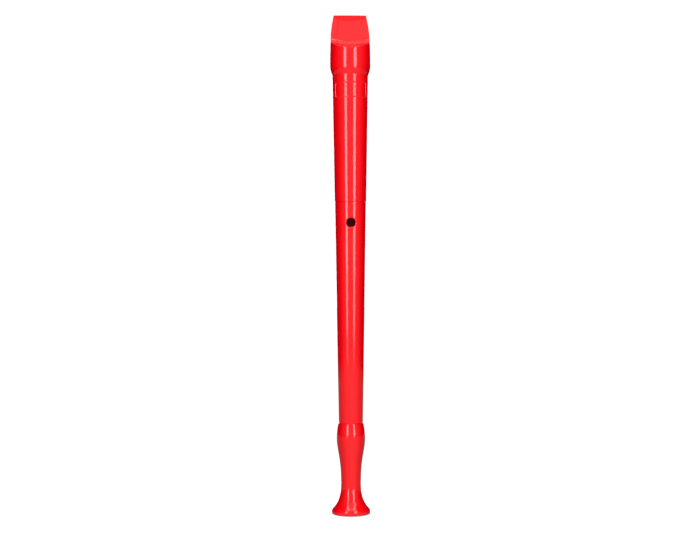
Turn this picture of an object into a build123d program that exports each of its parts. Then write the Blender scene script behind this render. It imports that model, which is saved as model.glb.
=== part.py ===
from build123d import *
import os

# Soprano recorder in moulded plastic: a head joint with its windway block, a middle joint and a
# foot joint.
# Frame: +Z runs up the bore from the bell to the beak, and z = 0 is the flat end of the bell.
# The bore's axis is x = y = 0. The finger holes and the window face +Y, the thumb hole -Y.
# An outline is drawn in the half plane y = 0 as (radius, height) and turned about the bore's axis.

# ---- Driving dimensions, in millimetres ----
total_length = 325.0
head_seam = 203.2  # the head joint's lower rim
foot_seam = 59.6  # the foot joint's upper rim
seam_gap = 0.1  # hairline left between a rim and the shoulder that it sits on
fit_gap = 0.08  # radial clearance of a tenon in its socket
rim_round = 0.2  # rounding of the head's lower rim

# Outer radii
head_rim_radius = 10.25
head_neck_radius = 11.6  # the head tube where the bulge begins
bulge_radius = 13.15
beak_tip_radius = 11.55
middle_top_radius = 10.05
middle_bottom_radius = 7.8
foot_rim_radius = 8.0
foot_shoulder_radius = 8.4
foot_bulge_radius = 9.22
foot_neck_radius = 6.47
bell_radius = 12.6
bell_foot_radius = 12.4  # the band leans in towards the flat end
bell_ring_radius = 8.95  # the flat end's outer edge, from which it rounds up to the band

# Heights along the outside
neck_height = 285.2  # the crease under the head's bulge
bulge_height = 291.9  # the bulge's widest place
foot_bulge_height = 49.6
foot_shoulder_height = 58.0  # the bulge turns in to the foot's rim above this
foot_neck_height = 23.2
bell_band_low = 1.0
bell_band_high = 3.55

# Handles of the two curves of the foot's outline
flare_out = (6.6, 5.55)  # from the band's top edge: this far inwards and this far up
flare_in = 4.8  # from the neck, down
bulge_in = 13.0  # from the neck, up
bulge_out = 6.75  # from the bulge's widest place, down

# Tenons and sockets
head_tenon_radius = 8.2
head_tenon_length = 22.0
foot_tenon_radius = 6.3
foot_tenon_length = 14.0
socket_spare = 0.5  # how much deeper a socket is than its tenon is long
waist_depth = 0.25  # shallow groove between the two bearing bands of a tenon
band_length = 4.0

# Bore radii
head_bore = 6.75
middle_bore_top = 6.5
middle_bore_bottom = 4.75
bell_bore = 4.4  # straight stretch at the bell, which a stand's peg enters
bell_bore_top = 24.0
mouth_radius = 2.2  # rounding of the bore's mouth into the bell's flat end

# Windway, window and labium
windway_exit = 283.6  # lower end of the windway, and top of the window
windway_half_width = 5.5
windway_arch = 8.5  # radius of the windway floor's arch, seen along the bore
floor_at_exit = 6.35  # height of the floor's crown above the bore's axis
floor_at_tip = 8.0
windway_depth = 1.0
block_radius = 8.6
window_low_side = 3.9  # the window is cut through the wall above this distance from the axis
labium_edge = 279.4
labium_crown = 6.85
ramp_foot = 265.1  # where the labium's ramp runs out on the head tube

# Beak: the line of the cut under it in the plane x = 0, as (y, z). A shelf rises from the back of
# the beak to a fold, a steeper face goes on up, and the last stretch is the lip at the tip. The line
# is turned about a high level axis along y, which makes the cut a shallow scoop across x.
beak_cut_start = (-13.3, 302.15)
beak_cut_fold = (-1.2, 305.0)
beak_cut_lip = (3.9, 321.2)
beak_cut_end = (4.35, 325.0)
beak_fold_radius = 7.5
beak_scoop_height = 355.0  # height of the axis
beak_scoop_arc = 90.0

# Raised frame of the label panel and the small gate mark on the back of the head
panel_bottom = 270.0
panel_top = 280.4
panel_half_angle = 61.0
panel_line = 0.8  # width of the frame's ribs
panel_line_angle = 4.0  # the same width, as an angle round the tube
panel_raise = 0.3
panel_sink = 0.5  # how far a rib reaches into the wall that it stands on
panel_rules = [273.5, 277.1]  # heights of two plain ruled lines inside the frame
rule_width = 0.35
rule_raise = 0.12
rule_half_angle = 46.0
gate_height = 262.2
gate_radius = 0.55
gate_depth = 0.35

# Holes, as (height, radius, sideways place)
thumb_hole = (189.6, 2.95, 0.0)
middle_holes = [
    (180.5, 2.2, 0.0),
    (162.5, 2.5, 0.0),
    (144.0, 2.7, 0.0),
    (118.5, 2.5, 0.0),
    (100.0, 2.9, 0.0),
    (80.5, 1.75, -2.5),
    (80.5, 1.45, 2.3),
]
foot_holes = [(40.0, 1.6, -2.2), (40.0, 1.3, 2.1)]

reach = 40.0  # length of the cutting tools, past every wall


def up(radius, height):
    """A point of an outline."""
    return (radius, 0, height)


def turned(*edges):
    """The solid that an outline makes when it is closed along the axis and turned about it."""
    first = edges[0] @ 0
    last = edges[-1] @ 1
    closing = [
        Line(last, up(0, last.Z)),
        Line(up(0, last.Z), up(0, first.Z)),
        Line(up(0, first.Z), first),
    ]
    outline = Face(Wire([*edges, *closing]))
    return revolve(outline, Axis.Z)


def cone(low, low_radius, high, high_radius):
    """A round taper between two heights, or a cylinder if the radii are equal."""
    return turned(Line(up(low_radius, low), up(high_radius, high)))


def block_between(x_half, y_low, y_high, z_low, z_high):
    """A box about x = 0 between two depths and two heights."""
    centre = (0, (y_low + y_high) / 2, (z_low + z_high) / 2)
    return Pos(*centre) * Box(2 * x_half, y_high - y_low, z_high - z_low)


def hole_tool(height, radius, sideways, side):
    """A round cutter from the bore's axis out through the wall on the +Y or -Y side, aimed so that
    its middle leaves the wall at the sideways place."""
    depth = middle_bottom_radius
    aim = Vector(sideways, side * depth, 0)
    plane = Plane(origin=(0, 0, height), z_dir=aim)
    return plane * Cylinder(radius, reach, align=(Align.CENTER, Align.CENTER, Align.MIN))


def leaning_cylinder(radius, crown_low, low, crown_high, high):
    """A cylinder whose highest line, its crown, runs from one (y, z) to another above the axis."""
    lean = (crown_high - crown_low) / (high - low)
    direction = Vector(0, lean, 1)
    drop = radius * direction.length
    start = Vector(0, crown_low - drop, low) - direction * reach
    length = direction.length * (high - low + 2 * reach)
    plane = Plane(origin=start, z_dir=direction)
    return plane * Cylinder(radius, length, align=(Align.CENTER, Align.CENTER, Align.MIN))


def head_tube_radius(height):
    """Outer radius of the head's tapered tube, below its bulge."""
    climbed = (height - head_seam) / (neck_height - head_seam)
    return head_rim_radius + climbed * (head_neck_radius - head_rim_radius)


def outer_head():
    """Outside of the head: a tapered tube, a bulge that begins at a crease, and the beak."""
    rim = TangentArc(
        up(head_rim_radius - rim_round, head_seam),
        up(head_rim_radius, head_seam + rim_round),
        tangent=(1, 0, 0),
    )
    tube = Line(rim @ 1, up(head_neck_radius, neck_height))
    under = TangentArc(
        up(bulge_radius, bulge_height), up(head_neck_radius, neck_height), tangent=(0, 0, -1)
    )
    beak = TangentArc(
        up(bulge_radius, bulge_height), up(beak_tip_radius, total_length), tangent=(0, 0, 1)
    )
    return turned(rim, tube, under, beak)


def beak_cutter():
    """Everything behind the concave cut under the beak."""
    shelf_rise = (beak_cut_fold[1] - beak_cut_start[1]) / (beak_cut_fold[0] - beak_cut_start[0])
    back = beak_cut_start[0] - reach
    top = (total_length + beak_scoop_height) / 2
    start = (0, back, beak_cut_start[1] - shelf_rise * reach)
    fold = (0, *beak_cut_fold)
    lip = (0, *beak_cut_lip)
    end = (0, *beak_cut_end)
    cut_line = FilletPolyline(start, fold, lip, end, radius=beak_fold_radius)
    closing = Polyline(end, (0, beak_cut_end[0], top), (0, back, top), start)
    outline = Face(Wire([*cut_line.edges(), *closing.edges()]))
    scoop_axis = Axis((0, 0, beak_scoop_height), (0, 1, 0))
    return revolve(outline.rotate(scoop_axis, -beak_scoop_arc / 2), scoop_axis, beak_scoop_arc)


def windway_floor():
    """The arched solid whose top is the windway's floor."""
    return leaning_cylinder(
        windway_arch, floor_at_exit, windway_exit, floor_at_tip, total_length
    )


def block_form():
    """The windway block's round plug, arched on top, before the beak is cut."""
    plug = cone(windway_exit, block_radius, total_length, block_radius)
    return plug & windway_floor()


def windway_space():
    """The thin arched slot between the block and the roof of the beak."""
    roof = leaning_cylinder(
        windway_arch + windway_depth,
        floor_at_exit + windway_depth,
        windway_exit,
        floor_at_tip + windway_depth,
        total_length,
    )
    slot = block_between(windway_half_width, 0, reach, windway_exit, total_length)
    return (roof & slot) - windway_floor()


def window_and_ramp():
    """The window's opening and the wedge of air over the labium's arched ramp."""
    ramp = leaning_cylinder(
        windway_arch, head_tube_radius(ramp_foot), ramp_foot, labium_crown, labium_edge
    )
    ramp_sides = ramp_foot - windway_arch  # below where the ramp's sides run out on the tube
    over_ramp = block_between(windway_half_width, 0, reach, ramp_sides, labium_edge)
    window = block_between(
        windway_half_width, window_low_side, reach, labium_edge, windway_exit
    )
    return (over_ramp - ramp) + window


def rib(low, high, raised, from_angle, arc):
    """A strip that stands out of the head's tube between two heights, over an arc round it."""
    low_wall, high_wall = head_tube_radius(low), head_tube_radius(high)
    strip = Polyline(
        up(low_wall - panel_sink, low),
        up(low_wall + raised, low),
        up(high_wall + raised, high),
        up(high_wall - panel_sink, high),
        close=True,
    )
    return Rot(0, 0, from_angle) * revolve(Face(Wire(strip)), Axis.Z, arc)


def panel_frame():
    """Low ribs on the back of the head: a rectangle bent round the tube, with two ruled lines."""
    back = -90.0
    left = back - panel_half_angle
    right = back + panel_half_angle - panel_line_angle
    width = 2 * panel_half_angle
    ribs = [
        rib(panel_bottom, panel_bottom + panel_line, panel_raise, left, width),
        rib(panel_top - panel_line, panel_top, panel_raise, left, width),
        rib(panel_bottom, panel_top, panel_raise, left, panel_line_angle),
        rib(panel_bottom, panel_top, panel_raise, right, panel_line_angle),
    ]
    for height in panel_rules:
        low, high = height - rule_width / 2, height + rule_width / 2
        ribs.append(rib(low, high, rule_raise, back - rule_half_angle, 2 * rule_half_angle))
    return ribs


def gate_mark():
    """The small dimple that the moulding gate leaves on the back of the head."""
    plane = Plane(origin=(0, -reach, gate_height), z_dir=(0, 1, 0))
    length = reach - head_tube_radius(gate_height) + gate_depth
    return plane * Cylinder(gate_radius, length, align=(Align.CENTER, Align.CENTER, Align.MIN))


def head_shell():
    """Beak, bulge and head tube in one moulding, hollow for the block, the bore and the tenon."""
    socket_top = head_seam + head_tenon_length + socket_spare
    shell = outer_head()
    for rib in panel_frame():
        shell += rib
    shell -= cone(head_seam, head_tenon_radius + fit_gap, socket_top, head_tenon_radius + fit_gap)
    shell -= cone(socket_top, head_bore, windway_exit, head_bore)
    shell -= block_form()
    shell -= windway_space()
    shell -= window_and_ramp()
    shell -= gate_mark()
    return shell - beak_cutter()


def windway_block():
    """The plug that fills the head behind the windway. Its face is the underside of the beak."""
    return block_form() - beak_cutter()


def tenon(shoulder, radius, length, upward):
    """A tenon that stands on a shoulder, with a shallow waist between its two bearing bands."""
    sign = 1 if upward else -1
    tip = shoulder + sign * length
    low, high = sorted((shoulder, tip))
    waist_low, waist_high = low + band_length, high - band_length
    core = cone(low, radius - waist_depth, high, radius - waist_depth)
    bands = cone(low, radius, waist_low, radius) + cone(waist_high, radius, high, radius)
    return core + bands


def middle_joint():
    """The long tapered tube with the thumb hole, six finger places and a tenon at each end."""
    top = head_seam - seam_gap
    bottom = foot_seam + seam_gap
    tube = cone(bottom, middle_bottom_radius, top, middle_top_radius)
    tube += tenon(top, head_tenon_radius, head_tenon_length, True)
    tube += tenon(bottom, foot_tenon_radius, foot_tenon_length, False)
    tube -= cone(
        bottom - foot_tenon_length, middle_bore_bottom, top + head_tenon_length, middle_bore_top
    )
    tube -= hole_tool(*thumb_hole, -1)
    for hole in middle_holes:
        tube -= hole_tool(*hole, 1)
    return tube


def outer_foot():
    """Outside of the foot: a band round the bell, a flare, a slim neck and a rounded bulge."""
    rim = TangentArc(
        up(bell_ring_radius, 0), up(bell_foot_radius, bell_band_low), tangent=(1, 0, 0)
    )
    band = Line(rim @ 1, up(bell_radius, bell_band_high))
    flare = Bezier(
        up(bell_radius, bell_band_high),
        up(bell_radius - flare_out[0], bell_band_high + flare_out[1]),
        up(foot_neck_radius, foot_neck_height - flare_in),
        up(foot_neck_radius, foot_neck_height),
    )
    bulge = Bezier(
        up(foot_neck_radius, foot_neck_height),
        up(foot_neck_radius, foot_neck_height + bulge_in),
        up(foot_bulge_radius, foot_bulge_height - bulge_out),
        up(foot_bulge_radius, foot_bulge_height),
    )
    shoulder = TangentArc(
        up(foot_bulge_radius, foot_bulge_height),
        up(foot_shoulder_radius, foot_shoulder_height),
        tangent=(0, 0, 1),
    )
    lip = TangentArc(shoulder @ 1, up(foot_rim_radius, foot_seam), tangent=shoulder % 1)
    return turned(rim, band, flare, bulge, shoulder, lip)


def foot_joint():
    """The bell end, with a socket for the middle joint and the double hole for the little finger."""
    socket = foot_tenon_radius + fit_gap
    socket_bottom = foot_seam + seam_gap - foot_tenon_length - socket_spare
    foot = outer_foot()
    foot -= cone(socket_bottom, socket, foot_seam, socket)
    foot -= cone(bell_bore_top, bell_bore, socket_bottom, middle_bore_bottom)
    foot -= cone(mouth_radius, bell_bore, bell_bore_top, bell_bore)
    foot -= turned(
        TangentArc(
            up(bell_bore, mouth_radius), up(bell_bore + mouth_radius, 0), tangent=(0, 0, -1)
        )
    )
    for hole in foot_holes:
        foot -= hole_tool(*hole, 1)
    return foot


parts = {
    "head_shell": head_shell(),
    "windway_block": windway_block(),
    "middle_joint": middle_joint(),
    "foot_joint": foot_joint(),
}
os.makedirs("parts", exist_ok=True)
for name, solid in parts.items():
    export_step(solid, f"parts/{name}.step")
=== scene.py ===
import math

import bpy
import numpy as np
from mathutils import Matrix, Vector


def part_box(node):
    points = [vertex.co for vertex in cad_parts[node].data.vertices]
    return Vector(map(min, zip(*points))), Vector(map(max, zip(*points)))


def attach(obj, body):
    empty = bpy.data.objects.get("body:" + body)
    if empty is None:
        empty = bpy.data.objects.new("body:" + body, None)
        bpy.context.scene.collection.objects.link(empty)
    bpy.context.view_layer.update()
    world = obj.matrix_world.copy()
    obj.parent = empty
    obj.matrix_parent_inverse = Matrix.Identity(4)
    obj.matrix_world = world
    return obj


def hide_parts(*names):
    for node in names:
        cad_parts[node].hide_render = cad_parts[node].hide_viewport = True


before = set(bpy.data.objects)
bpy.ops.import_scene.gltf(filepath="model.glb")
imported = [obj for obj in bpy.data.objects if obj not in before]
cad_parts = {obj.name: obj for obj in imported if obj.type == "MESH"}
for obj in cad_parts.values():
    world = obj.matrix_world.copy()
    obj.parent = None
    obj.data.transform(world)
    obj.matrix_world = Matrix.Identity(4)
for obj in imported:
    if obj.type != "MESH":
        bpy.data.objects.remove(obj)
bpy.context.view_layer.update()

# Soprano recorder in glossy moulded plastic. Its four pieces stand for the four CAD nodes. They have
# the CAD's sizes, apart from a deeper gate mark and a slightly thicker labium, and rounded edges.
# Each is a distance field: a function of x, y and z that is negative inside the material. skin()
# lays a closed mesh on the field's surface.
# The recorder's lengths are in millimetres until its meshes are placed, the stage's lengths are in
# metres, and angles are in degrees.

MM = 0.001
TINY = 1e-9  # keeps a division away from zero
FRONT, BACK = 1, -1  # the finger holes' side and the thumb hole's, along y

# ---- Sizes read from the frame ----
head_low, head_high = (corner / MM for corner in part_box("head_shell"))
_, foot_high = (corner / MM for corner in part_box("foot_joint"))
middle_low, middle_high = (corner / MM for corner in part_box("middle_joint"))
block_low, _ = (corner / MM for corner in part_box("windway_block"))
head_seam = head_low.z
total_length = head_high.z
foot_seam = foot_high.z
windway_exit = block_low.z
bulge_radius = head_high.x
bell_radius = foot_high.x
middle_top_radius = middle_high.x
block_radius = -block_low.y

# ---- Head: outside ----
head_rim_radius = 10.25
head_neck_radius = 11.6
beak_tip_radius = 11.55
neck_height = 285.2
bulge_height = 291.9
beak_cut = [(-13.3, 302.15), (-1.2, 305.0), (3.9, 321.2), (4.35, 325.0)]  # as (y, z) at x = 0
beak_fold_radius, beak_scoop_height = 7.5, 355.0
panel_bottom, panel_top, panel_half_angle = 270.0, 280.4, 61.0
panel_line, panel_raise = 1.0, 0.32
panel_rules, rule_width, rule_raise, rule_half_angle = [273.5, 277.1], 0.4, 0.12, 46.0
gate_height, gate_across, gate_radius, gate_depth = 262.2, 0.5, 0.8, 1.2

# ---- Head: windway, window, labium, bore and socket ----
windway_half_width, windway_arch, windway_depth = 5.5, 8.5, 1.0
floor_at_exit, floor_at_tip = 6.35, 8.0
window_low_side = 3.9
labium_edge, labium_crown, ramp_foot = 279.4, 7.1, 265.1
head_bore = 6.75
head_tenon_radius, head_tenon_length = 8.2, 22.0
foot_tenon_radius, foot_tenon_length = 6.3, 14.0
seam_gap, rim_gap, fit_gap, socket_spare = 0.1, 0.05, 0.08, 0.5
waist_depth, band_length, tenon_root = 0.25, 4.0, 1.0
cutter_reach, windway_reach = 0.2, 0.5  # how far a cutter passes the edge that it opens

# ---- Middle joint ----
middle_bottom_radius = 7.8
middle_bore_top, middle_bore_bottom = 6.5, 4.75
thumb_hole = (189.6, 2.95, 0.0)  # height, radius, sideways place
middle_holes = [
    (180.5, 2.2, 0.0),
    (162.5, 2.5, 0.0),
    (144.0, 2.7, 0.0),
    (118.5, 2.5, 0.0),
    (100.0, 2.9, 0.0),
    (80.5, 1.75, -2.5),
    (80.5, 1.45, 2.3),
]

# ---- Foot ----
foot_rim_radius, foot_shoulder_radius, foot_shoulder_height = 8.0, 8.4, 58.0
foot_bulge_radius, foot_bulge_height = 9.22, 49.6
foot_neck_radius, foot_neck_height = 6.47, 23.2
bell_ring_radius, bell_foot_radius, bell_band_low, bell_band_high = 8.95, 12.4, 1.0, 3.55
flare_out = (6.6, 5.55)  # from the band's top edge: this far inwards and this far up
flare_in, bulge_in = 4.8, 13.0  # from the neck, down and up
bulge_out = 6.75  # from the bulge's widest place, down
bell_bore, bell_bore_top, mouth_radius = 4.4, 24.0, 2.2
foot_holes = [(40.0, 1.6, -2.2), (40.0, 1.3, 2.1)]

# ---- Roundings of edges, and the softening of creases ----
crease_softening, ring_softening = 0.12, 0.1
head_rim_rounding, foot_rim_rounding, tube_end_rounding = 0.15, 0.08, 0.05
head_socket_rounding, foot_socket_rounding, bore_end_rounding = 0.2, 0.15, 0.3
tenon_rounding, tenon_root_rounding = 0.3, 0.1
thumb_hole_rounding, finger_hole_rounding, foot_hole_rounding = 0.6, 0.4, 0.3
ramp_corner_rounding, window_corner_rounding, window_rounding = 0.1, 0.15, 0.18
windway_corner_rounding, windway_rounding = 0.2, 0.12
beak_rounding, plug_corner_rounding, plug_tip_rounding, plug_seam_rounding = 0.35, 0.1, 0.45, 0.07
band_foot_rounding, band_rounding = 0.1, 1.0

# ---- Plastic ----
# The third red is painted shade for the inside of the bore, where little light gets in.
dark_red, light_red, bore_painted_shade_red = (0.95, 0.0006, 0.005, 1), (1.0, 0.001, 0.0065, 1), (0.42, 0.0003, 0.002, 1)
refraction = 1.49
tube_roughness, plug_roughness = 0.07, 0.09
rougher_in_scratch, rougher_in_bore = 0.12, 0.45
ripple_height, grain_height, scratch_height = 0.05, 0.012, -0.03  # of the bump's whole distance
bump_strength, bump_distance = 0.5, 0.00004
head_painted_shade_radius, middle_painted_shade_radius, foot_painted_shade_radius = 7.0, 6.8, 5.0  # the bore's colour is painted darker inside these, as painted shade
painted_shade_edge = 0.4  # over which the painted shade fades out

# ---- Stage, in metres ----
floor_radius, wide_table_radius, wide_table_drop = 0.17, 1.15, 0.0005
floor_colour, floor_glow, table_glow = (0.9, 0.9, 0.9, 1), 0.7, 0.25
# (place, grey), where place 0 is straight away from the camera and 1 is straight towards its side
room_greys = [(0.33, 0.005), (0.5, 0.04), (0.64, 0.13), (0.8, 0.33), (1.0, 0.53)]
camera_azimuth, camera_distance, camera_height, camera_roll = -2.2, 1.06, 0.1612, 0.12
camera_aside, camera_lens, camera_sensor = -0.00036, 83.92, 36.0
strip_azimuths = {"left": -31.5, "right": 26.5}
strip_distance, strip_width = 1.2, 0.33
strip_parts = [  # (name, low, high, radiance)
    ("_strip_top", 0.55, 1.1, 5.0),
    ("_strip", 0.12, 0.55, 6.8),
    ("_strip_foot", 0.03, 0.12, 4.5),
    ("_strip_end", -0.01, 0.03, 1.3),
]


# ---- Curves and distance fields ----


def bezier(start, start_handle, end_handle, end, steps=400):
    """Points of a cubic curve."""
    t = np.linspace(0, 1, steps)[:, None]
    corners = [np.array(p, float) for p in (start, start_handle, end_handle, end)]
    weights = [(1 - t) ** 3, 3 * t * (1 - t) ** 2, 3 * t**2 * (1 - t), t**3]
    return sum(w * p for w, p in zip(weights, corners))


def arc(start, tangent, end, steps=400):
    """Points of the circular arc that leaves one point along a tangent and ends at another."""
    start, end = np.array(start, float), np.array(end, float)
    tangent = np.array(tangent, float) / np.hypot(*tangent)
    normal = np.array([-tangent[1], tangent[0]])
    chord = end - start
    radius = chord @ chord / (2 * chord @ normal)
    turn = 2 * math.atan2(chord @ normal, chord @ tangent)
    swept = np.linspace(0, turn, steps)[:, None]
    return start + radius * (np.sin(swept) * tangent + (1 - np.cos(swept)) * normal)


class Outline:
    """A curve that a surface follows, as a value for each place along it."""

    step = 0.02

    def __init__(self, *runs, soften=0.0):
        points = np.vstack(runs)
        order = np.argsort(points[:, 1], kind="stable")
        low, high = points[order[0], 1], points[order[-1], 1]
        along = np.arange(low, high + self.step, self.step)
        value = np.interp(along, points[order, 1], points[order, 0])
        window = 2 * int(soften / self.step) + 1
        if window > 1:
            padded = np.pad(value, window // 2, mode="reflect", reflect_type="odd")
            value = np.convolve(padded, np.ones(window) / window, mode="valid")
        self.along, self.value = along, value
        self.slope = np.gradient(value, self.step)

    def at(self, along):
        """The curve's value at a place along it."""
        return np.interp(along, self.along, self.value)

    def beyond(self, across, along):
        """Distance from the curve, which is negative below its value."""
        slope = np.interp(along, self.along, self.slope)
        return (across - self.at(along)) / np.sqrt(1 + slope**2)


def meet(a, b, rounding=0.0):
    """The material that two fields share, with the edge between them rounded."""
    if rounding == 0:
        return np.maximum(a, b)
    corner = np.hypot(np.maximum(a + rounding, 0), np.maximum(b + rounding, 0))
    return corner + np.minimum(np.maximum(a, b), -rounding)


def cut(a, b, rounding=0.0):
    """The first field without the second."""
    return meet(a, -b, rounding)


def join(a, b, rounding=0.0):
    """Both fields together, with the corner between them filled."""
    return -meet(-a, -b, rounding)


def between(value, low, high):
    """A slab from one value to another."""
    return np.maximum(low - value, value - high)


def arched(x, y, z, low_crown, low, high_crown, high):
    """A cylinder of the windway's arch, whose crown leans from one height to another."""
    lean = (high_crown - low_crown) / (high - low)
    crown = low_crown + lean * (z - low)
    return (np.hypot(x, y - (crown - windway_arch)) - windway_arch) / math.hypot(1, lean)


def hole(x, y, z, height, radius, sideways, side):
    """A round hole from the bore out through the wall. Its sideways place is measured at the radius
    of the tube's lower end."""
    aim = np.array([sideways, side * middle_bottom_radius])
    aim /= np.hypot(*aim)
    along = x * aim[0] + y * aim[1]
    across = x * -aim[1] + y * aim[0]
    return np.maximum(np.hypot(across, z - height) - radius, -along)


# ---- Meshing ----


def levels(*stretches):
    """Grid levels from (start, end, step) stretches that follow each other."""
    runs = []
    for start, end, step in stretches:
        count = max(1, round((end - start) / step))
        runs.append(np.linspace(start, end, count, endpoint=False))
    return np.append(np.concatenate(runs), stretches[-1][1])


def field_slope(shape, points, step=0.004):
    """The field's gradient at some points."""
    slope = np.empty_like(points)
    for axis in range(3):
        ahead, behind = points.copy(), points.copy()
        ahead[:, axis] += step
        behind[:, axis] -= step
        slope[:, axis] = (shape(*ahead.T) - shape(*behind.T)) / (2 * step)
    return slope


def neighbours(values, axis):
    """The values at the low end and at the high end of each grid step along an axis."""
    low = [slice(None)] * values.ndim
    high = list(low)
    low[axis], high[axis] = slice(None, -1), slice(1, None)
    return values[tuple(low)], values[tuple(high)]


def edge_sums(values, axis):
    """For each cell, the sum over its four edges along an axis."""
    for other in range(3):
        if other != axis:
            low, high = neighbours(values, other)
            values = low + high
    return values


def laid_along(values, axis):
    """A row of values turned to lie along one axis of the grid."""
    return values.reshape([-1 if i == axis else 1 for i in range(3)])


def crossings(value, grids, axis):
    """Which grid edges along an axis the surface crosses, which of them leave the solid, and where."""
    low, high = neighbours(value, axis)
    leaving = low < 0
    crossed = leaving != (high < 0)
    part = np.where(crossed, low / np.where(crossed, low - high, 1), 0)
    spot = np.empty(crossed.shape + (3,))
    for other in range(3):
        start = grids[other] if other != axis else grids[other][:-1]
        spot[..., other] = laid_along(start, other)
    spot[..., axis] += part * laid_along(np.diff(grids[axis]), axis)
    spot[~crossed] = 0
    return crossed, leaving, spot


def quads_round(crossed, leaving, axis, vertex, turned):
    """A quad round each crossed edge, from the vertices of the four cells that share the edge."""
    next_axis, last_axis = (axis + 1) % 3, (axis + 2) % 3
    cells_round = vertex.shape[1]
    edges = np.argwhere(crossed)
    if turned:
        edges = edges[edges[:, 1] < cells_round]
    corners = []
    for back_next, back_last in ((1, 1), (0, 1), (0, 0), (1, 0)):
        cell = edges.copy()
        cell[:, next_axis] -= back_next
        cell[:, last_axis] -= back_last
        if turned:
            cell[:, 1] %= cells_round
        corners.append(vertex[tuple(cell.T)])
    quads = np.stack(corners, axis=1)
    entering = ~leaving[tuple(edges.T)]
    quads[entering] = quads[entering][:, ::-1]
    return quads


def settled(shape, points, rounds=5, longest_move=0.25, least_slope=0.05):
    """The points moved along the field's slope until they lie on its surface."""
    for _ in range(rounds):
        slope = field_slope(shape, points)
        steepness = np.maximum((slope**2).sum(1), least_slope)
        move = -(shape(*points.T) / steepness)[:, None] * slope
        length = np.maximum(np.linalg.norm(move, axis=1), TINY)
        points = points + move * np.minimum(1, longest_move / length)[:, None]
    return points


def skin(shape, *grids, turned=True):
    """Vertices, quads and normals of a field's surface: one vertex in each grid cell that the
    surface crosses. A turned grid is radius, angle and height, and closes round the axis."""
    x, y, z = np.meshgrid(*grids, indexing="ij", sparse=True)
    if turned:
        x, y = x * np.cos(y), x * np.sin(y)
    value = np.broadcast_to(shape(x, y, z), tuple(map(len, grids)))
    cells = tuple(n - 1 for n in value.shape)
    count = np.zeros(cells)
    place = np.zeros(cells + (3,))
    edges = []
    for axis in range(3):
        crossed, leaving, spot = crossings(value, grids, axis)
        count += edge_sums(crossed.astype(float), axis)
        place += edge_sums(spot, axis)
        edges.append((crossed, leaving, axis))
    used = count > 0
    vertex = np.full(cells, -1)
    vertex[used] = np.arange(used.sum())
    points = place[used] / count[used][:, None]
    if turned:
        radius, angle, height = points.T
        points = np.stack([radius * np.cos(angle), radius * np.sin(angle), height], axis=1)
    quads = np.vstack([quads_round(*edge, vertex, turned) for edge in edges])
    points = settled(shape, points)
    normals = field_slope(shape, points)
    normals /= np.maximum(np.linalg.norm(normals, axis=1), TINY)[:, None]
    return points, quads, normals


def piece(name, body, node, material, surface):
    """A finished mesh that stands for a CAD node."""
    points, quads, normals = surface
    mesh = bpy.data.meshes.new(name)
    mesh.from_pydata((points * MM).tolist(), [], quads.tolist())
    mesh.polygons.foreach_set("use_smooth", np.ones(len(quads), bool))
    mesh.normals_split_custom_set_from_vertices(normals.tolist())
    mesh.materials.append(material)
    thing = bpy.data.objects.new(name, mesh)
    bpy.context.scene.collection.objects.link(thing)
    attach(thing, body)
    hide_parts(node)


# ---- Head shell ----


def head_outline():
    """Radius of the outside of the head: tapered tube, crease, bulge and beak."""
    under = arc((bulge_radius, bulge_height), (0, -1), (head_neck_radius, neck_height))
    beak = arc((bulge_radius, bulge_height), (0, 1), (beak_tip_radius, total_length))
    tube = [(head_rim_radius, head_seam), (head_neck_radius, neck_height)]
    return Outline(tube, under, beak, soften=crease_softening)


def smooth(step):
    """A step from 0 to 1 with its ends eased."""
    return step * step * (3 - 2 * step)


def plateau(value, low, high, edge=0.18):
    """1 between two values and 0 outside them, with smooth edges."""
    rise = np.clip((value - low) / edge + 0.5, 0, 1)
    fall = np.clip((high - value) / edge + 0.5, 0, 1)
    return smooth(rise * fall)


def ridge(offset, width):
    """A rounded ridge of height 1 about offset 0."""
    return np.cos(np.pi * np.clip(offset / width, -0.5, 0.5)) ** 2


def back_relief(x, y, z):
    """How far the wall of the head stands out: the label frame, its ruled lines, the gate mark."""
    arc_length = np.arctan2(x, -y) * head_neck_radius
    panel_half = math.radians(panel_half_angle) * head_neck_radius
    rule_half = math.radians(rule_half_angle) * head_neck_radius
    from_frame = np.maximum(
        between(z, panel_bottom + panel_line / 2, panel_top - panel_line / 2),
        np.abs(arc_length) - panel_half + panel_line / 2,
    )
    relief = panel_raise * ridge(from_frame, panel_line)
    for height in panel_rules:
        line = ridge(z - height, rule_width)
        relief = relief + rule_raise * line * plateau(arc_length, -rule_half, rule_half)
    from_gate = np.hypot(arc_length - gate_across, z - gate_height)
    return relief - gate_depth * smooth(np.clip(1 - from_gate / gate_radius, 0, 1))


def fillet(before, corner, after, radius):
    """Points of an arc that rounds the corner between two straight runs."""
    before, corner, after = (np.array(p, float) for p in (before, corner, after))
    back = (before - corner) / np.linalg.norm(before - corner)
    on = (after - corner) / np.linalg.norm(after - corner)
    length = radius / math.tan(math.acos(back @ on) / 2)
    return arc(corner + length * back, -back, corner + length * on)


def under_beak():
    """The cut under the beak as a field, negative in the plastic: a shelf, a rounded fold, a steeper
    face and the lip, turned about a high level axis so that it is a shallow scoop across x."""
    start, fold, lip, end = np.array(beak_cut)
    far_behind, far_above = 40, 5
    shelf = start + (start - fold) / (fold - start)[0] * far_behind
    above = end + (end - lip) / (end - lip)[1] * far_above
    folds = [fillet(start, fold, lip, beak_fold_radius), fillet(fold, lip, end, beak_fold_radius)]
    line = Outline([shelf], *folds, [above])

    def shape(x, y, z):
        return -line.beyond(y, beak_scoop_height - np.hypot(x, beak_scoop_height - z))

    return shape


def block_plug(x, y, z):
    """The windway block's plug, arched on top."""
    floor = arched(x, y, z, floor_at_exit, windway_exit, floor_at_tip, total_length)
    plug = meet(np.hypot(x, y) - block_radius, floor, plug_corner_rounding)
    return meet(plug, windway_exit - z)


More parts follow.
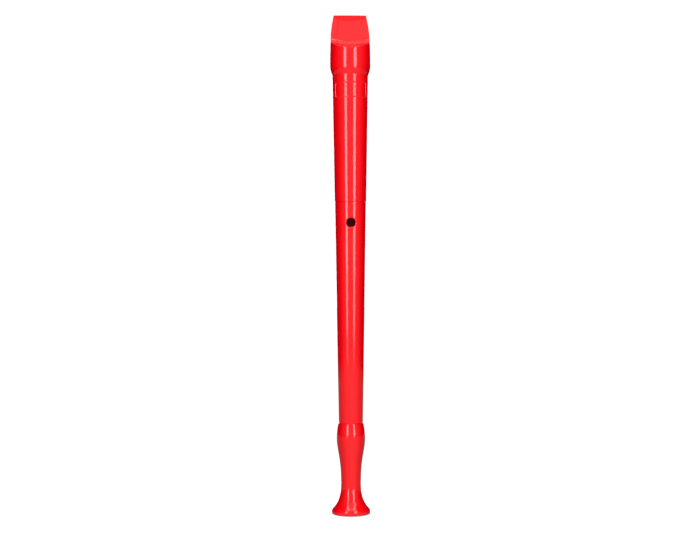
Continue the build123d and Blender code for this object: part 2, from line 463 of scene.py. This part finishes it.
def windway(x, y, z):
    """The slot between the block and the beak's roof."""
    roof_at_exit, roof_at_tip = floor_at_exit + windway_depth, floor_at_tip + windway_depth
    roof = arched(x, y, z, roof_at_exit, windway_exit, roof_at_tip, total_length)
    slot = meet(np.abs(x) - windway_half_width, roof, windway_corner_rounding)
    return np.maximum(np.maximum(slot, -y), windway_exit - windway_reach - z)


def head_field():
    """The beak, bulge and head tube in one moulding."""
    outside = head_outline()
    scoop = under_beak()
    socket = head_tenon_radius + fit_gap
    socket_top = head_seam + head_tenon_length + socket_spare
    ramp_crown = outside.at(ramp_foot)

    def shape(x, y, z):
        radius = np.hypot(x, y)
        wall = outside.beyond(radius - back_relief(x, y, z), z)
        wall = meet(wall, head_seam + rim_gap - z, head_rim_rounding)
        wall = meet(wall, z - total_length, beak_rounding)
        wall = cut(wall, np.maximum(radius - socket, z - socket_top), head_socket_rounding)
        wall = cut(wall, np.maximum(radius - head_bore, z - windway_exit - cutter_reach))
        sides = np.abs(x) - windway_half_width
        ramp = arched(x, y, z, ramp_crown, ramp_foot, labium_crown, labium_edge)
        over_ramp = meet(-ramp, sides, ramp_corner_rounding)
        ramp_length = between(z, ramp_foot - windway_arch, labium_edge + cutter_reach)
        over_ramp = np.maximum(np.maximum(over_ramp, ramp_length), -y)
        window = meet(between(z, labium_edge, windway_exit), sides, window_corner_rounding)
        window = np.maximum(window, window_low_side - y)
        wall = cut(wall, join(over_ramp, window), window_rounding)
        wall = meet(wall, scoop(x, y, z), beak_rounding)
        wall = cut(wall, windway(x, y, z), windway_rounding)
        return cut(wall, block_plug(x, y, z), plug_seam_rounding)

    return shape


def head_shell(material):
    """The head. The grid is finer at its rim, socket, gate mark, label frame, window and beak."""
    radii = levels((6.1, 7.4, 0.16), (7.4, 8.15, 0.3), (8.15, 8.75, 0.1), (8.75, 13.8, 0.35))
    angles = levels(
        (-180, -152, 2.3), (-152, -144, 0.8), (-144, -92, 2), (-92, -82, 0.8), (-82, -36, 2),
        (-36, -28, 0.8), (-28, 50, 2.4), (50, 130, 1.7), (130, 180, 2.4),
    )
    heights = levels(
        (202.6, 204.4, 0.15), (204.4, 225, 3), (225, 226.4, 0.2), (226.4, 261, 3), (261, 263.6, 0.2),
        (263.6, 269.6, 0.6), (269.6, 271, 0.14), (271, 273, 0.4), (273, 274, 0.14), (274, 276.6, 0.4),
        (276.6, 277.6, 0.14), (277.6, 278.8, 0.3), (278.8, 280.8, 0.14), (280.8, 283, 0.3),
        (283, 286, 0.2), (286, 301, 0.8), (301, 324.4, 0.35), (324.4, 325.6, 0.12),
    )
    surface = skin(head_field(), radii, np.radians(angles), heights)
    piece("head_moulding", "head", "head_shell", material, surface)


# ---- Windway block ----


def windway_block(material):
    """The plug in the head, cut along with the beak."""
    scoop = under_beak()

    def shape(x, y, z):
        plug = meet(block_plug(x, y, z), z - total_length, plug_tip_rounding)
        return meet(plug, scoop(x, y, z), plug_seam_rounding)

    across = levels((-9, 9, 0.25))
    depth = levels((-9, 8.6, 0.25))
    heights = levels((283, 284.4, 0.25), (284.4, 301.6, 1.1), (301.6, 325.6, 0.25))
    surface = skin(shape, across, depth, heights, turned=False)
    piece("windway_plug", "head", "windway_block", material, surface)


# ---- Middle joint ----


def tenon(radius, z, full_radius, low, high):
    """A tenon with a shallow waist between its two bearing bands."""
    waist = waist_depth * plateau(z, low + band_length, high - band_length, edge=0.4)
    return meet(radius - full_radius + waist, between(z, low, high), tenon_rounding)


def middle_joint(material):
    """The tube with its tenons and holes. The grid is finer at the seams, the bands and each hole."""
    top, bottom = head_seam - seam_gap, foot_seam + seam_gap
    outside = Outline([(middle_bottom_radius, bottom), (middle_top_radius, top)])
    bore = Outline([(middle_bore_bottom, middle_low.z), (middle_bore_top, middle_high.z)])

    def shape(x, y, z):
        radius = np.hypot(x, y)
        ends = between(z, foot_seam + rim_gap, head_seam)
        tube = meet(outside.beyond(radius, z), ends, tube_end_rounding)
        upper = tenon(radius, z, head_tenon_radius, top - tenon_root, middle_high.z)
        lower = tenon(radius, z, foot_tenon_radius, middle_low.z, bottom + tenon_root)
        wall = join(tube, np.minimum(upper, lower), tenon_root_rounding)
        wall = cut(wall, bore.beyond(radius, z), bore_end_rounding)
        wall = cut(wall, hole(x, y, z, *thumb_hole, BACK), thumb_hole_rounding)
        for finger_hole in middle_holes:
            wall = cut(wall, hole(x, y, z, *finger_hole, FRONT), finger_hole_rounding)
        return wall

    radii = levels((4.3, 10.6, 0.4))
    angles = levels((-180, -118, 3.1), (-118, -62, 1.2), (-62, 45, 3.4), (45, 135, 1.45), (135, 180, 3.5))
    stretches = [
        (45.0, 46.6, 0.2), (46.6, 49.1, 0.8), (49.1, 50.3, 0.2), (50.3, 55.1, 1.6), (55.1, 56.3, 0.2),
        (56.3, 59.2, 1), (59.2, 60.2, 0.15),
    ]
    # The last two holes share a height, so one of them is enough here.
    places = [(height, radius + 1.1, 0.32) for height, radius, _ in middle_holes[:-1]]
    thumb_height, thumb_radius, _ = thumb_hole
    places.append((thumb_height, thumb_radius + 1.4, 0.22))
    reached = stretches[-1][1]
    for height, reach, step in sorted(places):
        stretches.append((reached, height - reach, 3))
        stretches.append((height - reach, height + reach, step))
        reached = height + reach
    stretches += [
        (reached, 202.6, 3), (202.6, 203.6, 0.14), (203.6, 206.5, 1), (206.5, 207.7, 0.2),
        (207.7, 220.5, 3), (220.5, 221.7, 0.2), (221.7, 224.4, 1), (224.4, 225.8, 0.2),
    ]
    surface = skin(shape, radii, np.radians(angles), levels(*stretches))
    piece("middle_tube", "middle", "middle_joint", material, surface)


# ---- Foot joint ----


def foot_outline():
    """Radius of the outside of the foot above its band: flare, neck, bulge, shoulder and rim."""
    neck = (foot_neck_radius, foot_neck_height)
    crown = (foot_bulge_radius, foot_bulge_height)
    shoulder_end = (foot_shoulder_radius, foot_shoulder_height)
    flare = bezier(
        (bell_radius, bell_band_high),
        (bell_radius - flare_out[0], bell_band_high + flare_out[1]),
        (foot_neck_radius, foot_neck_height - flare_in),
        neck,
    )
    bulge = bezier(
        neck,
        (foot_neck_radius, foot_neck_height + bulge_in),
        (foot_bulge_radius, foot_bulge_height - bulge_out),
        crown,
    )
    shoulder = arc(crown, (0, 1), shoulder_end)
    lip = arc(shoulder_end, shoulder[-1] - shoulder[-2], (foot_rim_radius, foot_seam))
    flare_start = flare[0] - flare[8]
    below = flare[0] + 3 * flare_start / np.linalg.norm(flare_start)  # on past the band's edge
    return Outline([below], flare, bulge, shoulder, lip, soften=crease_softening)


def foot_joint(material):
    """The foot. The grid is finer at its band, its holes, the socket's floor and its rim."""
    outside = foot_outline()
    ring = arc((bell_ring_radius, 0), (1, 0), (bell_foot_radius, bell_band_low))
    under = Outline([(0, 0)], ring[:, ::-1], soften=ring_softening)
    band = Outline([(bell_foot_radius, bell_band_low), (bell_radius, bell_band_high)])
    socket = foot_tenon_radius + fit_gap
    socket_bottom = foot_seam + seam_gap - foot_tenon_length - socket_spare
    tenon_end = socket_bottom + socket_spare
    bore = Outline([(bell_bore, 0), (bell_bore, bell_bore_top), (middle_bore_bottom, tenon_end)])

    def shape(x, y, z):
        radius = np.hypot(x, y)
        wall = meet(-under.beyond(z, radius), -bore.beyond(radius, z), mouth_radius)
        wall = meet(wall, band.beyond(radius, z), band_foot_rounding)
        wall = meet(wall, outside.beyond(radius, z), band_rounding)
        wall = meet(wall, z - foot_seam, foot_rim_rounding)
        wall = cut(wall, np.maximum(radius - socket, socket_bottom - z), foot_socket_rounding)
        for small_hole in foot_holes:
            wall = cut(wall, hole(x, y, z, *small_hole, FRONT), foot_hole_rounding)
        return wall

    radii = levels((3.9, 13.2, 0.3))
    angles = levels((-180, 55, 2), (55, 125, 1.4), (125, 180, 2))
    heights = levels(
        (-0.5, 1.6, 0.14), (1.6, 3.9, 0.16), (3.9, 10, 0.35), (10, 37.6, 0.9), (37.6, 42.4, 0.25),
        (42.4, 44.6, 0.6), (44.6, 45.8, 0.2), (45.8, 57.4, 0.7), (57.4, 60.2, 0.14),
    )
    surface = skin(shape, radii, np.radians(angles), heights)
    piece("foot_bell", "foot", "foot_joint", material, surface)


# ---- Plastic ----


class Tree:
    """Adds shader nodes to a tree and joins them."""

    def __init__(self, tree):
        self.tree = tree

    def add(self, kind, inputs=None, **settings):
        """A new node, with its settings and with a value or a link for each input."""
        node = self.tree.nodes.new(kind)
        for key, value in settings.items():
            setattr(node, key, value)
        for key, value in (inputs or {}).items():
            if hasattr(value, "is_output"):
                self.tree.links.new(value, node.inputs[key])
            else:
                node.inputs[key].default_value = value
        return node


class Material(Tree):
    """A material's shader nodes."""

    def __init__(self, name):
        self.material = bpy.data.materials.new(name)
        self.material.use_nodes = True
        super().__init__(self.material.node_tree)
        self.shader = self.tree.nodes["Principled BSDF"]

    def place(self, scale):
        """Position on the piece, stretched by a scale for each axis."""
        position = self.add("ShaderNodeTexCoord").outputs["Object"]
        return self.add("ShaderNodeMapping", {"Vector": position, "Scale": scale}).outputs["Vector"]

    def noise(self, scale, stretch=(1, 1, 1), detail=3.0):
        """Cloudy noise between 0 and 1. An axis with a small stretch has long streaks along it."""
        inputs = {"Vector": self.place(stretch), "Scale": scale, "Detail": detail}
        return self.add("ShaderNodeTexNoise", inputs).outputs["Fac"]

    def spread(self, value, low, high, to_low, to_high):
        """A value carried from one range to another."""
        inputs = {"Value": value, "From Min": low, "From Max": high, "To Min": to_low, "To Max": to_high}
        return self.add("ShaderNodeMapRange", inputs).outputs["Result"]

    def blend(self, factor, first, second):
        """A colour between two others."""
        return self.add("ShaderNodeMix", {0: factor, 6: first, 7: second}, data_type="RGBA").outputs[2]

    def maths(self, operation, first, second):
        """The result of an operation on two values."""
        return self.add("ShaderNodeMath", {0: first, 1: second}, operation=operation).outputs[0]

    def plus(self, value, added, weight):
        """A value with a share of another added to it."""
        return self.maths("ADD", value, self.maths("MULTIPLY", added, weight))

    def drive(self, socket, value):
        """Joins a value to one of the shader's sockets."""
        self.tree.links.new(value, self.shader.inputs[socket])


def scratch_lines(nodes):
    """Hair scratches in two directions, in patches: 1 on a scratch and 0 off it."""
    lines = []
    for stretch in ((1, 0.35, 0.05), (0.4, 1, 0.09)):
        field = nodes.noise(420, stretch=stretch, detail=1)
        from_middle = nodes.maths("ABSOLUTE", nodes.maths("SUBTRACT", field, 0.5), 0)
        lines.append(nodes.spread(from_middle, 0, 0.004, 1, 0))
    patches = nodes.spread(nodes.noise(120), 0.5, 0.62, 0, 1)
    return nodes.maths("MULTIPLY", nodes.maths("MAXIMUM", *lines), patches)


def flow_streaks(nodes):
    """Where the colour is lighter: clouds, with streaks that run up the piece."""
    cloud = nodes.noise(55, detail=4)
    streak = nodes.noise(300, stretch=(1, 1, 0.06), detail=2)
    mixed = nodes.plus(nodes.maths("MULTIPLY", cloud, 0.6), streak, 0.4)
    return nodes.spread(mixed, 0.35, 0.65, 0, 1)


def bore_painted_shade_mask(nodes, radius):
    """Where the bore's painted shade goes: 1 inside a radius from the recorder's axis and 0 outside it."""
    from_axis = nodes.add("ShaderNodeVectorMath", {0: nodes.place((1, 1, 0))}, operation="LENGTH")
    return nodes.spread(from_axis.outputs["Value"], (radius + painted_shade_edge) * MM, radius * MM, 0, 1)


def moulded_plastic(name, roughness, painted_shade_radius=None):
    """Glossy moulded plastic: faint flow streaks in the colour, uneven gloss, hair scratches and the
    slight ripple of a moulded wall. Inside the painted-shade radius, if there is one, it is matt and its
    colour is painted darker, as painted shade in the bore."""
    nodes = Material(name)
    colour = nodes.blend(flow_streaks(nodes), dark_red, light_red)
    scratches = scratch_lines(nodes)
    rough = nodes.spread(nodes.noise(90, detail=5), 0.3, 0.7, roughness - 0.02, roughness + 0.035)
    rough = nodes.plus(rough, scratches, rougher_in_scratch)
    if painted_shade_radius is not None:
        # Painted shade: inside the radius the colour is painted darker and the gloss is rougher.
        inside = bore_painted_shade_mask(nodes, painted_shade_radius)
        colour = nodes.blend(inside, colour, bore_painted_shade_red)
        rough = nodes.plus(rough, inside, rougher_in_bore)
    nodes.drive("Base Color", colour)
    nodes.drive("Roughness", rough)
    ripple = nodes.noise(160, stretch=(1, 1, 0.3), detail=2)
    grain = nodes.noise(2600, detail=2)
    height = nodes.plus(nodes.maths("MULTIPLY", ripple, ripple_height), grain, grain_height)
    height = nodes.plus(height, scratches, scratch_height)
    bump_inputs = {"Height": height, "Strength": bump_strength, "Distance": bump_distance}
    nodes.drive("Normal", nodes.add("ShaderNodeBump", bump_inputs).outputs["Normal"])
    nodes.shader.inputs["IOR"].default_value = refraction
    return nodes.material


# ---- Stage, lights and camera ----


def look_at(thing, target):
    """Turns a light until it faces a target."""
    direction = np.array(target, float) - np.array(thing.location)
    flat = math.hypot(direction[0], direction[1])
    thing.rotation_euler = (math.pi / 2 + math.atan2(direction[2], flat), 0, -math.atan2(*direction[:2]))


def area_light(name, place, target, width, height, radiance):
    """A rectangular light that faces a target and stays out of the camera's view."""
    lamp = bpy.data.lights.new(name, "AREA")
    lamp.shape = "RECTANGLE"
    lamp.size, lamp.size_y = width, height
    lamp.energy = radiance * math.pi * width * height
    thing = bpy.data.objects.new(name, lamp)
    bpy.context.scene.collection.objects.link(thing)
    thing.location = place
    look_at(thing, target)
    thing.visible_camera = False
    return thing


def light_panel(name, azimuth, distance, low, high, width, radiance, glossy=True):
    """An upright light that faces the recorder. Azimuth 0 is on the camera's side."""
    angle = math.radians(azimuth)
    middle = (low + high) / 2
    place = (distance * math.sin(angle), -distance * math.cos(angle), middle)
    panel = area_light(name, place, (0, 0, middle), width, high - low, radiance)
    panel.visible_glossy = glossy


def soft_light(name, place, width, depth, radiance, diffuse=True, glossy=True):
    """A light above the recorder that faces its top."""
    panel = area_light(name, place, (0, 0, total_length * MM), width, depth, radiance)
    panel.visible_diffuse = diffuse
    panel.visible_glossy = glossy


def studio_lights():
    """A tall strip on each side for the long highlights, dimmer towards its ends, a high one above it
    for the bell's flare, and broad soft lights in front, behind and overhead."""
    for side, azimuth in strip_azimuths.items():
        for part, low, high, radiance in strip_parts:
            light_panel(side + part, azimuth, strip_distance, low, high, strip_width, radiance)
    light_panel("front_light", azimuth=180, distance=1.3, low=0.1, high=1.0, width=0.5, radiance=4.0)
    fill = {"distance": 1.3, "low": 0.0, "high": 1.0, "width": 1.0, "glossy": False}
    light_panel("back_fill", azimuth=0, radiance=1.2, **fill)
    light_panel("front_fill", azimuth=180, radiance=3.5, **fill)
    soft_light("overhead", (0, -0.05, 1.7), width=1.4, depth=1.3, radiance=1.2)
    soft_light("high_front", (0, -1.1, 1.45), width=1.0, depth=0.8, radiance=0.7)
    for side, sign in (("left", -1), ("right", 1)):
        strip_place, back_place = (0.46 * sign, -0.58, 1.2), (0.85 * sign, 0.5, 1.35)
        soft_light(side + "_high_strip", strip_place, width=0.2, depth=0.97, radiance=4.5, diffuse=False)
        soft_light(side + "_high_back", back_place, width=0.6, depth=0.5, radiance=1.5, glossy=False)


def towards_camera(nodes, y):
    """The room's brightness in a direction, from that direction's y: black away from the camera's side
    and brightest on it."""
    reach = {"Value": y, "From Min": 1, "From Max": -1}
    ramp = nodes.add("ShaderNodeValToRGB", {0: nodes.add("ShaderNodeMapRange", reach).outputs[0]})
    stops = ramp.color_ramp.elements
    stops.remove(stops[1])
    for place, grey in room_greys:
        stops.new(place).color = (grey, grey, grey, 1)
    return ramp.outputs[0]


def studio_surroundings():
    """White beyond the set, where the camera sees it. What the plastic mirrors is a soft room."""
    world = bpy.data.worlds.new("studio")
    bpy.context.scene.world = world
    world.use_nodes = True
    nodes = Tree(world.node_tree)
    direction = nodes.add("ShaderNodeTexCoord").outputs["Generated"]
    split = nodes.add("ShaderNodeSeparateXYZ", {0: direction}).outputs
    room = nodes.add("ShaderNodeBackground", {"Color": towards_camera(nodes, split["Y"])}).outputs[0]
    white = nodes.add("ShaderNodeBackground", {"Color": (1, 1, 1, 1), "Strength": 1.05}).outputs[0]
    seen = nodes.add("ShaderNodeLightPath").outputs["Is Camera Ray"]
    choose = nodes.add("ShaderNodeMixShader", {0: seen, 1: room, 2: white})
    nodes.tree.links.new(choose.outputs[0], nodes.tree.nodes["World Output"].inputs["Surface"])


def disc(name, radius, height, material, sides=96):
    """A level disc of the stage, about the recorder's axis."""
    mesh = bpy.data.meshes.new(name)
    turns = np.linspace(0, 2 * math.pi, sides, endpoint=False)
    rim = [(radius * math.cos(t), radius * math.sin(t), height) for t in turns]
    mesh.from_pydata(rim, [], [list(range(sides))])
    mesh.materials.append(material)
    thing = bpy.data.objects.new(name, mesh)
    bpy.context.scene.collection.objects.link(thing)
    return thing


def pale_floor():
    """A round white table top, and round it a wide table, unseen by the camera, with a painted glow,
    brighter on the camera's side, for the plastic to mirror.
    """
    white = Material("white_table")
    white.shader.inputs["Base Color"].default_value = floor_colour
    white.shader.inputs["Roughness"].default_value = 0.9
    white.shader.inputs["Emission Color"].default_value = (1, 1, 1, 1)
    white.shader.inputs["Emission Strength"].default_value = floor_glow
    floor = disc("floor", floor_radius, 0, white.material)
    floor.visible_glossy = False
    floor.visible_diffuse = False
    soft = Material("soft_table")
    position = soft.add("ShaderNodeTexCoord").outputs["Object"]
    level = soft.add("ShaderNodeVectorMath", {0: position, 1: (1, 1, 0)}, operation="MULTIPLY").outputs[0]
    level = soft.add("ShaderNodeVectorMath", {0: level}, operation="NORMALIZE").outputs[0]
    split = soft.add("ShaderNodeSeparateXYZ", {0: level}).outputs
    # Painted glow: the wide table shines like a lamp, brighter on the camera's side.
    glow = soft.maths("ADD", towards_camera(soft, split["Y"]), table_glow)
    soft.shader.inputs["Base Color"].default_value = (0, 0, 0, 1)
    soft.shader.inputs["Specular IOR Level"].default_value = 0
    soft.shader.inputs["Emission Strength"].default_value = 1
    soft.drive("Emission Color", glow)
    table = disc("wide_table", wide_table_radius, -wide_table_drop, soft.material)
    table.visible_camera = False
    table.visible_diffuse = False
    table.visible_shadow = False


def photo_camera():
    """Level with the recorder's middle, behind it and a little to the left."""
    azimuth = math.radians(camera_azimuth)
    camera = bpy.data.objects.new("camera", bpy.data.cameras.new("camera"))
    bpy.context.scene.collection.objects.link(camera)
    camera.data.sensor_width = camera_sensor
    camera.data.lens = camera_lens
    camera.location = (
        camera_distance * math.sin(azimuth) + camera_aside * math.cos(azimuth),
        -camera_distance * math.cos(azimuth) + camera_aside * math.sin(azimuth),
        camera_height,
    )
    camera.rotation_euler = (math.pi / 2, math.radians(camera_roll), azimuth)
    bpy.context.scene.camera = camera


# ---- The whole scene ----

photo_camera()
studio_surroundings()
pale_floor()
studio_lights()
head_shell(moulded_plastic("red_head_plastic", tube_roughness, head_painted_shade_radius))
windway_block(moulded_plastic("red_plug_plastic", plug_roughness))
middle_joint(moulded_plastic("red_tube_plastic", tube_roughness, middle_painted_shade_radius))
foot_joint(moulded_plastic("red_foot_plastic", tube_roughness, foot_painted_shade_radius))

bpy.context.scene.view_settings.view_transform = "Standard"
